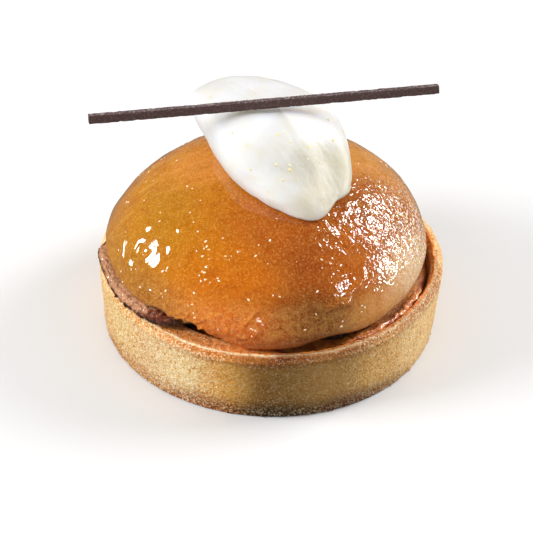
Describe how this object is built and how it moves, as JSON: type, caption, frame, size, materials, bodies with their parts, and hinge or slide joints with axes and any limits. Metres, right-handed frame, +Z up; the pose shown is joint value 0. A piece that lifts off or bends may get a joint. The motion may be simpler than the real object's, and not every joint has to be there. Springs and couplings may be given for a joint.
{
  "type": "tarte tatin",
  "caption": "Single-serve tarte tatin: shortcrust shell with caramel, browned apple layer and glazed apple dome, topped with a cream quenelle and a chocolate stick.",
  "frame": {"origin": "centre of the shortcrust shell's flat underside", "axes": "+Z up, -Y to the front of the tart, +X to its right; the chocolate stick runs roughly along X"},
  "size_m": [0.0823, 0.0812, 0.0617],
  "materials": {
    "shortcrust": "baked golden shortcrust, dry and sandy, browner at its foot",
    "caramel": "set dark caramel, glossy",
    "browned_apple": "browned caramelised apple, moist and knobbly, black at its outer edge",
    "glazed_apple": "cooked apple under clear amber glaze, wet gloss",
    "whipped_cream": "whipped cream with fine specks of zest, smooth and matte",
    "chocolate": "dark chocolate, cut square, grainy on top"
  },
  "bodies": {
    "root": {"tart_shell": "shortcrust", "caramel_filling": "caramel", "browned_apple_layer": "browned_apple", "apple_dome": "glazed_apple", "cream_quenelle": "whipped_cream", "chocolate_stick": "chocolate"}
  },
  "joints": []
}
